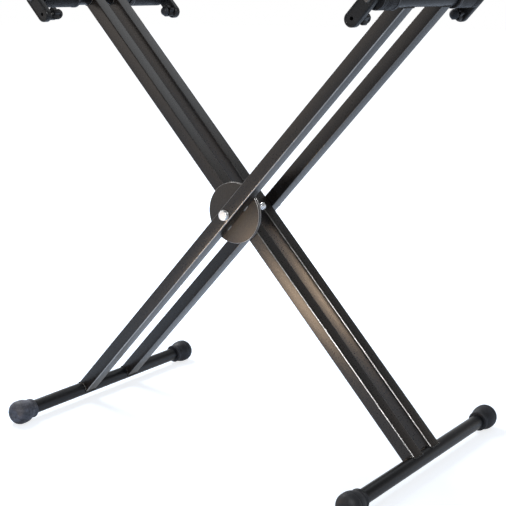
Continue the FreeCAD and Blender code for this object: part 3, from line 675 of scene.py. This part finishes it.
def thread_on(radius, y0, y1, pitch, finish, x=0.0, z=0.0):
    """A thread's ridge along Y, its crest at the radius that is given."""
    ridge_r = pitch * 0.36
    length = y1 - y0 - 2 * ridge_r
    coil = thread.make("thread", path_mesh([(0, 0, 0), (0, 0, 1)]), finish,
                       radius=radius - ridge_r, length=length, pitch=pitch)
    coil.transform(Matrix.Translation((x, y0 + ridge_r, z)) @ along_y)
    return coil


bolt_low, bolt_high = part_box("pivot_bolt")
head_top, bolt_end = bolt_low.y / MM, bolt_high.y / MM
bolt_r, head_r, head_height = 6.0, 9.5, 5.2
seat = head_top + head_height
nut_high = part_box("pivot_nut")[1].y / MM
nut_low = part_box("pivot_nut")[0].y / MM
bolt_shape = lathe("pivot_bolt", [
    (0, head_top), (head_r * 0.80, head_top, 2.0), (head_r * 0.95, head_top + 1.0, 1.4),
    (head_r, seat - 1.6, 1.2), (head_r, seat, 0.3), (bolt_r, seat, 0.2), (bolt_r, nut_high - 1),
    (bolt_r - 0.6, nut_high - 0.4), (bolt_r - 0.6, bolt_end - 0.8), (bolt_r - 1.4, bolt_end),
    (0, bolt_end)])
bolt_thread = thread_on(bolt_r, nut_high - 0.6, bolt_end - 0.2, 1.0, zinc)
bolt_mesh = joined("pivot_bolt", [bolt_shape, bolt_thread])
finish_piece("pivot_bolt_domed", bolt_mesh, upright, zinc, "pivot_bolt")

across_flats, collar_height = 19.0, 2.5


def hexagon(y, limit):
    """Ring of a hexagon nut, its corners cut back to a radius."""
    ring = []
    for i in range(96):
        turn = 2 * math.pi * i / 96
        to_flat = across_flats / 2 / math.cos((turn + math.pi / 6) % (math.pi / 3) - math.pi / 6)
        radius = min(to_flat, limit)
        ring.append((radius * math.cos(turn), y, radius * math.sin(turn)))
    return ring


def hole_ring(y, radius=bolt_r):
    return circle(radius, y, count=96)


corner_r = across_flats / 2 / math.cos(math.pi / 6)
top = nut_high - collar_height
collar_r = across_flats / 2 - 1.0
nut_rings = [hexagon(nut_low, across_flats / 2), hexagon(nut_low + 0.8, corner_r),
             hexagon(top - 0.9, corner_r), hexagon(top, across_flats / 2 - 0.2),
             hole_ring(top, collar_r), hole_ring(nut_high - 0.6, collar_r),
             hole_ring(nut_high, collar_r - 0.6), hole_ring(nut_high), hole_ring(nut_low)]
finish_piece("pivot_nut_locking", skin("pivot_nut", nut_rings, closed=True), upright, zinc, "pivot_nut")


def ring_piece(name, outer, bore, y0, y1, edge=0.3):
    """Washer or tube about the bolt with its outer edges broken."""
    return lathe(name, [(bore, y0), (outer, y0, edge), (outer, y1, edge), (bore, y1)], closed=True)


washer_r, washer_thick, disc_washer_r, play = 9.8, 1.5, 14.0, 0.3
disc_back = disc_face_y + disc_thick
rear_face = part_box("outer_leg_rear")[0].y / MM
rear_gap = rear_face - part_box("inner_leg_rear")[1].y / MM
bush_flange = 0.8
past_bush = rear_face - rear_gap + bush_flange + play
rings = [ring_piece("washer", washer_r, bolt_hole_r, seat, seat + washer_thick),
         ring_piece("washer", disc_washer_r, bolt_hole_r, disc_back, hidden_disc_y - play),
         ring_piece("washer", washer_r, bolt_hole_r, past_bush, rear_face),
         ring_piece("washer", washer_r, bolt_hole_r, nut_low - washer_thick, nut_low)]
finish_piece("pivot_washer_set", joined("pivot_washers", rings), upright, zinc, "pivot_washers")
spacer_low, spacer_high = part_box("pivot_spacer")
spacer = ring_piece("pivot_spacer", 9.0, bolt_r + 0.06, spacer_low.y / MM, spacer_high.y / MM)
finish_piece("pivot_spacer_tube", spacer, upright, zinc, "pivot_spacer")

nylon = Finish("white_nylon", (0.72, 0.71, 0.66), 0.42)
nylon.feed("Base Color", nylon.mix(nylon.step(nylon.noise(160.0, 4.0), 0.35, 0.70),
                                   (0.74, 0.73, 0.68), (0.58, 0.56, 0.50)))
nylon.bump(nylon.noise(700.0), 0.08, 0.0002)
bushes = []
for place in ("front", "rear"):
    y = middle_y("inner_leg_" + place)
    low, high = y - leg_depth / 2, y + leg_depth / 2
    bushes.append(lathe("bush", [(bolt_r + 0.06, low), (bush_hole_r, low, 0.3), (bush_hole_r, high),
                                 (10.5, high, 0.2), (10.5, high + bush_flange, 0.3),
                                 (bolt_r + 0.06, high + bush_flange)], closed=True))
finish_piece("pivot_bush_pair", joined("pivot_bushes", bushes), upright, nylon, "pivot_bushes")

# ------------------------------------------------------------------- disc lock
# Spring plunger on the back of the inner disc: chrome housing, collared pin,
# wire spring and a waisted pull knob, chromed too. The pin drops into a hole
# of the outer disc to set the stand's height, and the knob draws it back.
chrome = plated("lock_chrome", (0.93, 0.95, 0.98), 0.16, 0.80)
lock_x, lock_z = on_lock_ring(0)
plate_back = hidden_disc_y + disc_thick
body_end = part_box("lock_housing")[1].y / MM
housing_r, groove_r, housing_bore_r, lid_hole_r, lid = 7.6, 7.1, 5.8, 2.66, 1.8
housing = lathe("lock_housing", [
    (housing_bore_r, plate_back), (housing_r, plate_back, 0.3), (housing_r, plate_back + 3.2, 0.3),
    (groove_r, plate_back + 3.6, 0.2), (groove_r, plate_back + 4.4, 0.2),
    (housing_r, plate_back + 4.8, 0.3), (housing_r, body_end, 1.2), (lid_hole_r, body_end),
    (lid_hole_r, body_end - lid), (housing_bore_r, body_end - lid)], lock_z, lock_x, closed=True)
finish_piece("lock_housing_chrome", housing, upright, chrome, "lock_housing")
travel = 3.7
collar = plate_back + travel + play
collar_end = collar + 2
knob_low, knob_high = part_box("lock_knob")
knob_base, knob_top = knob_low.y / MM, knob_high.y / MM
pin_end = (knob_base + knob_top) / 2
pin_collar_r, pin_tail_r = 5.5, 2.6
pin = lathe("lock_pin", [
    (0, hidden_disc_y), (lock_pin_r, hidden_disc_y, 0.8), (lock_pin_r, collar),
    (pin_collar_r, collar, 0.3), (pin_collar_r, collar_end, 0.3), (pin_tail_r, collar_end),
    (pin_tail_r, pin_end), (0, pin_end)], lock_z, lock_x)
finish_piece("lock_pin_collared", pin, upright, chrome, "lock_pin")

spring_wire = plated("spring_wire", (0.42, 0.42, 0.43), 0.30)
coil = Recipe("coil_spring", ["Radius", "Length", "Turns", "Wire radius"])
winding = coil.node("GeometryNodeCurveSpiral", {},
                    {"Resolution": 32, "Rotations": coil.given("Turns"),
                     "Start Radius": coil.given("Radius"), "End Radius": coil.given("Radius"),
                     "Height": coil.given("Length")})
wire = coil.node("GeometryNodeCurvePrimitiveCircle", {},
                 {"Resolution": 10, "Radius": coil.given("Wire radius")})
coil.serve(coil.node("GeometryNodeCurveToMesh", {}, {"Curve": winding, "Profile Curve": wire,
                                                     "Fill Caps": True}))
wire_r = 0.45
spring_start = collar_end + wire_r + 0.1
spring_end = body_end - lid - wire_r - 0.1
spring = coil.make("lock_spring", path_mesh([(0, 0, 0), (0, 0, 1)]), spring_wire, radius=4.2,
                   length=spring_end - spring_start, turns=4.0, wire_radius=wire_r)
spring.transform(Matrix.Translation((lock_x, spring_start, lock_z)) @ along_y)
finish_piece("lock_spring_coil", spring, upright, spring_wire, "lock_spring", crease=60.0)


def moulded(name, colour, pale, roughness, grain=420.0):
    """Moulded plastic or rubber: fine grain, faint clouds of paler dust, pale rims."""
    skin_finish = Finish(name, colour, roughness, specular=0.28)
    dust = skin_finish.step(skin_finish.noise(70.0, 5.0, 0.65), 0.42, 0.72)
    worn = skin_finish.node("ShaderNodeAttribute", {"attribute_name": "wear_and_highlight"}, out="Fac")
    dusty = skin_finish.mix(dust, colour, pale)
    skin_finish.feed("Base Color", skin_finish.mix(worn, dusty, (0.30, 0.30, 0.31)))
    skin_finish.feed("Roughness", roughness + dust * 0.14)
    skin_finish.bump(skin_finish.noise(grain, 3.0, 0.6), 0.22, 0.0004)
    return skin_finish


pull_r, waist_depth = 7.0, 2.6
waist = pull_r - waist_depth
pull = lathe("lock_knob", [
    (0, knob_base), (waist + 0.8, knob_base, 0.5), (waist, knob_base + 4, 4.0), (6.4, knob_top - 5, 2.0),
    (pull_r, knob_top - 3, 1.2), (5.4, knob_top - 0.7, 0.8), (4.0, knob_top, 0.5), (0, knob_top)],
    lock_z, lock_x)
knob_piece = finish_piece("lock_knob_waisted", pull, upright, chrome, "lock_knob")


# --------------------------------------------------------------- rubber foot caps
# Bulbous caps of soft rubber, stretched over the ends of the foot tubes, with
# a beaded mouth and a crease round the bulb. The underside is worn flat.
def cap_rubber(name, colour, dusty, share):
    rubber = Finish(name, colour, 0.62, specular=0.35)
    worn = rubber.step(rubber.noise(48.0, 5.0, 0.62), 0.34, 0.66)
    streak = rubber.step(rubber.noise(150.0, 4.0, 0.7, (1.0, 0.35, 1.0)), 0.44, 0.66)
    rubber.feed("Base Color", rubber.mix(worn * share + streak * (share * 0.5), colour, dusty))
    rubber.feed("Roughness", 0.52 + worn * 0.18)
    rubber.bump(rubber.noise(260.0, 4.0, 0.65) + worn * 0.5, 0.35, 0.0006)
    return rubber


fresh_cap = cap_rubber("cap_rubber_dark", (0.0115, 0.0125, 0.0160), (0.038, 0.041, 0.052), 0.6)
worn_cap = cap_rubber("cap_rubber_worn", (0.043, 0.047, 0.060), (0.170, 0.175, 0.210), 0.85)
cap_r, neck_r, cap_cover, cap_end, crease_depth = 22.5, 17.4, 37.0, 12.0, 0.5
foot_half = foot_high.y / MM


def cap_profile():
    mouth = foot_half - cap_cover
    neck, fat, shoulder, tip = mouth + 9, mouth + 27, mouth + 33, foot_half + cap_end
    flat_r = cap_r * 0.36
    profile = [(0, foot_half), (foot_r, foot_half), (foot_r, mouth), (neck_r - 0.4, mouth, 0.5),
               (neck_r + 1.0, mouth + 1.2, 1.4), (neck_r + 1.0, mouth + 4.6, 1.4),
               (neck_r - 0.1, mouth + 6.4, 0.8), (neck_r, neck)]
    for k in range(1, 13):
        s = k / 12
        profile.append((neck_r + (cap_r - neck_r) * math.sin(math.pi / 2 * s), neck + (fat - neck) * s))
    profile += [(cap_r, fat + 1.2), (cap_r - crease_depth, fat + 2.2, 0.6), (cap_r, fat + 3.4),
                (cap_r, shoulder)]
    for k in range(1, 17):
        turn = math.pi / 2 * k / 16
        profile.append((flat_r + (cap_r - flat_r) * math.cos(turn),
                        shoulder + (tip - shoulder) * math.sin(turn)))
    profile += [(flat_r - 2.0, tip), (flat_r - 3.4, tip - 0.5, 0.5), (0, tip - 0.5)]
    return profile


for side in frames:
    for end, way in ends.items():
        node = f"{side}_foot_cap_{end}"
        mesh = lathe(node, cap_profile(), -pivot_to_foot, way=way, count=96)
        mesh.transform(leaning[side])
        for vertex in mesh.vertices:
            vertex.co.z = max(vertex.co.z, 0.0)
        cap_finish = worn_cap if node == "outer_foot_cap_near" else fresh_cap
        finish_piece(node + "_rubber", mesh, Matrix.Identity(4), cap_finish, node, crease=50.0)

# ------------------------------------------------------- arm sleeves and plugs
# Grippy rubber sleeves with a raised rim, pushed over the arms' ends, and
# plastic plugs driven into the tubes with the stubs that the stops turn on.
sleeve_finish = moulded("sleeve_rubber", (0.010, 0.010, 0.012), (0.026, 0.025, 0.029), 0.50, 300.0)
plug_finish = moulded("plug_plastic", (0.016, 0.016, 0.017), (0.034, 0.034, 0.036), 0.38)
sleeve_r, rim_width, rim_height, plug_flange, plug_depth = 18.5, 6.0, 0.9, 2.5, 14.0
arm_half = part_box("outer_arm_tube")[1].y / MM
standoff, stop_thick = 8.2, 13.0
stub_r, stub_shoulder_r, screw_hole_r, screw_hole = 6.0, 8.5, 2.5, 15
first_groove, groove_step, groove_depth = 12, 4.5, 0.5
stop_inner = arm_half + plug_flange + standoff + play
stop_outer = stop_inner + stop_thick
for side in frames:
    for end, way in ends.items():
        node = f"{side}_sleeve_{end}"
        low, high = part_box(node)
        start = min(abs(low.y), abs(high.y)) / MM
        flange = arm_half + plug_flange
        rim_end = start + rim_width
        profile = [(arm_r + 0.05, start), (sleeve_r + rim_height, start, 0.9),
                   (sleeve_r + rim_height, rim_end, 0.5), (sleeve_r, rim_end + 1.2, 0.6)]
        for k in range(3):
            groove = flange - first_groove - groove_step * k
            floor_r = sleeve_r - groove_depth
            profile[4:4] = [(sleeve_r, groove - 1.1, 0.3), (floor_r, groove - 0.7, 0.3),
                            (floor_r, groove + 0.7, 0.3), (sleeve_r, groove + 1.1, 0.3)]
        profile += [(sleeve_r, flange, 2.2), (arm_r + 0.05, flange)]
        mesh = lathe(node, profile, pivot_to_arm, way=way, closed=True)
        rubbed = ((start, start + 0.5), (rim_end - 0.5, rim_end), (flange - 1.5, flange - 0.5))
        mark_wear_and_highlight(mesh, lambda point: 0.6 if any(a <= abs(point.y) <= b for a, b in rubbed) else 0.0)
        finish_piece(node + "_rubber", mesh, leaning[side], sleeve_finish, node, crease=50.0)
        node = f"{side}_end_plug_{end}"
        spigot_r = arm_r - 1.6 - 0.05
        top = stop_outer + play
        profile = [(0, arm_half - plug_depth), (spigot_r, arm_half - plug_depth, 0.6),
                   (spigot_r, arm_half), (arm_r, arm_half, 0.2), (arm_r, flange, 0.5),
                   (stub_shoulder_r, flange, 0.4), (stub_shoulder_r, stop_inner - play, 0.3),
                   (stub_r, stop_inner - play), (stub_r, top, 0.3),
                   (screw_hole_r, top), (screw_hole_r, top - screw_hole), (0, top - screw_hole)]
        finish_piece(node + "_moulded", lathe(node, profile, pivot_to_arm, way=way), leaning[side],
                     plug_finish, node)

# ------------------------------------------------------------- swing-up stops
# Thick moulded links that turn on the arms' ends and stand up to hold the
# keyboard. Soft edges, a sunk panel on the outer face and a boss round the
# stub; a round socket-head screw keeps each one on.
stop_finish = moulded("stop_casting", (0.018, 0.018, 0.019), (0.038, 0.037, 0.037), 0.34)
stop_half, stop_reach, stop_edge = 12.5, 42.0, 2.6
panel_depth, panel_margin, screw_reach, screw_r = 0.8, 3.6, 40.5, 3.0
boss_r, boss_bore_r = 8.6, 4.0
cap_head_r, crown_r, mouth_r = 6.6, 5.2, 3.2
dark_steel = plated("blackened_steel", (0.13, 0.125, 0.12), 0.34)


def link_ring(half_width, y, z=0.0, reach=stop_reach, count=28):
    """Ring of a link: round at the arm's axis and at its free end below."""
    ring = []
    for centre, start in ((z, 0.0), (z - reach, math.pi)):
        for i in range(count + 1):
            turn = start + math.pi * i / count
            ring.append((half_width * math.cos(turn), y, centre + half_width * math.sin(turn)))
    return ring


def socket_ring(radius, y, z, count=72):
    """Ring of the hexagon socket in a screw's head."""
    ring = []
    for i in range(count):
        turn = 2 * math.pi * i / count
        reach = radius / math.cos((turn + math.pi / 6) % (math.pi / 3) - math.pi / 6)
        ring.append((reach * math.cos(turn), y, z + reach * math.sin(turn)))
    return ring


for side in frames:
    for end, way in ends.items():
        node = f"{side}_stop_{end}"
        rings = []
        for k in range(7):
            turn = math.pi / 2 * k / 6
            rings.append(link_ring(stop_half - stop_edge * (1 - math.sin(turn)),
                                   way * (stop_inner + stop_edge * (1 - math.cos(turn))), pivot_to_arm))
        for k in range(7):
            turn = math.pi / 2 * (1 - k / 6)
            rings.append(link_ring(stop_half - stop_edge * (1 - math.sin(turn)),
                                   way * (stop_outer - stop_edge * (1 - math.cos(turn))), pivot_to_arm))
        panel_half = stop_half - panel_margin
        for inset, depth in ((-0.35, 0.0), (-0.1, 0.1), (0.0, 0.35), (0.0, 0.6), (0.2, panel_depth)):
            rings.append(link_ring(panel_half - inset, way * (stop_outer - depth), pivot_to_arm))
        body = skin(node, rings)
        boss_foot = stop_inner + 4
        boss_mesh = lathe("boss", [(boss_bore_r, boss_foot), (boss_r, boss_foot), (boss_r, stop_outer, 0.4),
                                   (boss_bore_r, stop_outer)], pivot_to_arm, way=way, closed=True)
        holder = plain_object(node, body)
        boss = plain_object("boss", boss_mesh)
        union = holder.modifiers.new("boss", "BOOLEAN")
        union.operation = "UNION"
        union.solver = "EXACT"
        union.object = boss
        body = applied(holder, node)
        bpy.data.objects.remove(boss)
        faces_y = sorted((way * (stop_inner - 1), way * (stop_outer + 1)))
        body = drilled(body, (stub_r + 0.06, 0, pivot_to_arm, *faces_y),
                       (screw_r + 0.06, 0, pivot_to_arm - screw_reach, *faces_y))
        finish_piece(node + "_link", body, leaning[side], stop_finish, node)
    node = side + "_stop_retainers"
    screws = []
    for end, way in ends.items():
        seat_y, head, shank, length = stop_outer + play, 2.4, 2.5, 14.0
        outline = [(0, seat_y - length), (shank, seat_y - length, 0.3), (shank, seat_y),
                   (cap_head_r, seat_y, 0.2), (cap_head_r, seat_y + 0.9, 0.5),
                   (crown_r, seat_y + head, 1.2), (mouth_r, seat_y + head)]
        rings = [circle(r, way * y, pivot_to_arm) if r > 0 else [(0, way * y, pivot_to_arm)]
                 for r, y in soften(outline)]
        rings += [socket_ring(2.1, way * (seat_y + head - 0.2), pivot_to_arm),
                  socket_ring(2.0, way * (seat_y + head - 1.8), pivot_to_arm),
                  [(0, way * (seat_y + head - 2.0), pivot_to_arm)]]
        screws.append(skin("retainer", rings))
    finish_piece(node + "_pair", joined(node, screws), leaning[side], dark_steel, node)

# --------------------------------------------------------------- clamp screws
# A thread through each stop's free end, with a five-lobed hand knob and a
# mushroom pad of soft rubber that presses on the keyboard's edge.
knob_finish = moulded("knob_plastic", (0.015, 0.015, 0.016), (0.034, 0.034, 0.037), 0.34)
pad_finish = moulded("pad_rubber", (0.020, 0.022, 0.027), (0.046, 0.049, 0.058), 0.44, 300.0)
pad_length, pad_r, pad_neck_r, pad_base = 12.0, 9.0, 5.2, 2.5
knob_core, knob_lobe, lobes, thread_pitch = 8.7, 3.3, 5, 1.0
knob_edge = [(2.4, 0.5), (1.2, 0.12), (0.4, 0.4), (0.0, 1.3)]    # each an inset and a rise


def lobed_ring(inset, y, z):
    ring = []
    for i in range(120):
        turn = 2 * math.pi * i / 120
        swell = ((1 + math.cos(lobes * (turn + math.pi / 2))) / 2) ** 1.2
        radius = knob_core + knob_lobe * swell - inset
        ring.append((radius * math.cos(turn), y, z + radius * math.sin(turn)))
    return ring


for side in frames:
    for end, way in ends.items():
        z = pivot_to_arm - screw_reach
        node = f"{side}_stop_knob_{end}"
        low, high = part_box(node)
        inner, outer = sorted((abs(low.y) / MM, abs(high.y) / MM))
        rings = [circle(screw_r, way * inner, z, count=120)]
        rings += [lobed_ring(inset, way * (inner + rise), z) for inset, rise in knob_edge]
        rings += [lobed_ring(inset, way * (outer - rise), z) for inset, rise in reversed(knob_edge)]
        rings += [circle(5.6, way * (outer - 0.5), z, count=120), circle(5.2, way * outer, z, count=120),
                  circle(screw_r, way * outer, z, count=120)]
        finish_piece(node + "_lobed", skin(node, rings, closed=True), leaning[side], knob_finish, node,
                     crease=40.0)
        node = f"{side}_stop_screw_{end}"
        low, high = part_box(node)
        tip, tail = sorted((abs(low.y) / MM, abs(high.y) / MM))
        core_r = screw_r - 0.5
        rod_outline = [(0, tip), (core_r, tip), (core_r, tail - 0.4), (core_r - 0.6, tail), (0, tail)]
        rod = lathe(node, rod_outline, z, way=way, count=40)
        first, last = sorted((way * inner, way * (tail - 0.3)))
        winding = thread_on(screw_r, first, last, thread_pitch, dark_steel, 0.0, z)
        finish_piece(node + "_threaded", joined(node, [rod, winding]), leaning[side], dark_steel, node,
                     crease=60.0)
        node = f"{side}_stop_pad_{end}"
        brim = pad_base + 4.6
        profile = [(0, 0), (pad_neck_r, 0, 0.4), (pad_neck_r - 0.3, pad_base, 0.4),
                   (pad_r - 1.0, pad_base + 0.6, 0.4), (pad_r, pad_base + 1.6, 0.7),
                   (pad_r, pad_base + 3.6, 0.7), (pad_r - 0.9, brim, 0.5)]
        for k in range(1, 9):
            turn = math.pi / 2 * k / 8
            profile.append(((pad_r - 0.9) * math.cos(turn) if k < 8 else 0,
                            brim + (pad_length - pad_base - 4.6) * math.sin(turn)))
        flipped = [(r, inner - y, *more) for r, y, *more in profile]
        pad = lathe(node, flipped, z, way=way)
        finish_piece(node + "_mushroom", pad, leaning[side], pad_finish, node, crease=40.0)
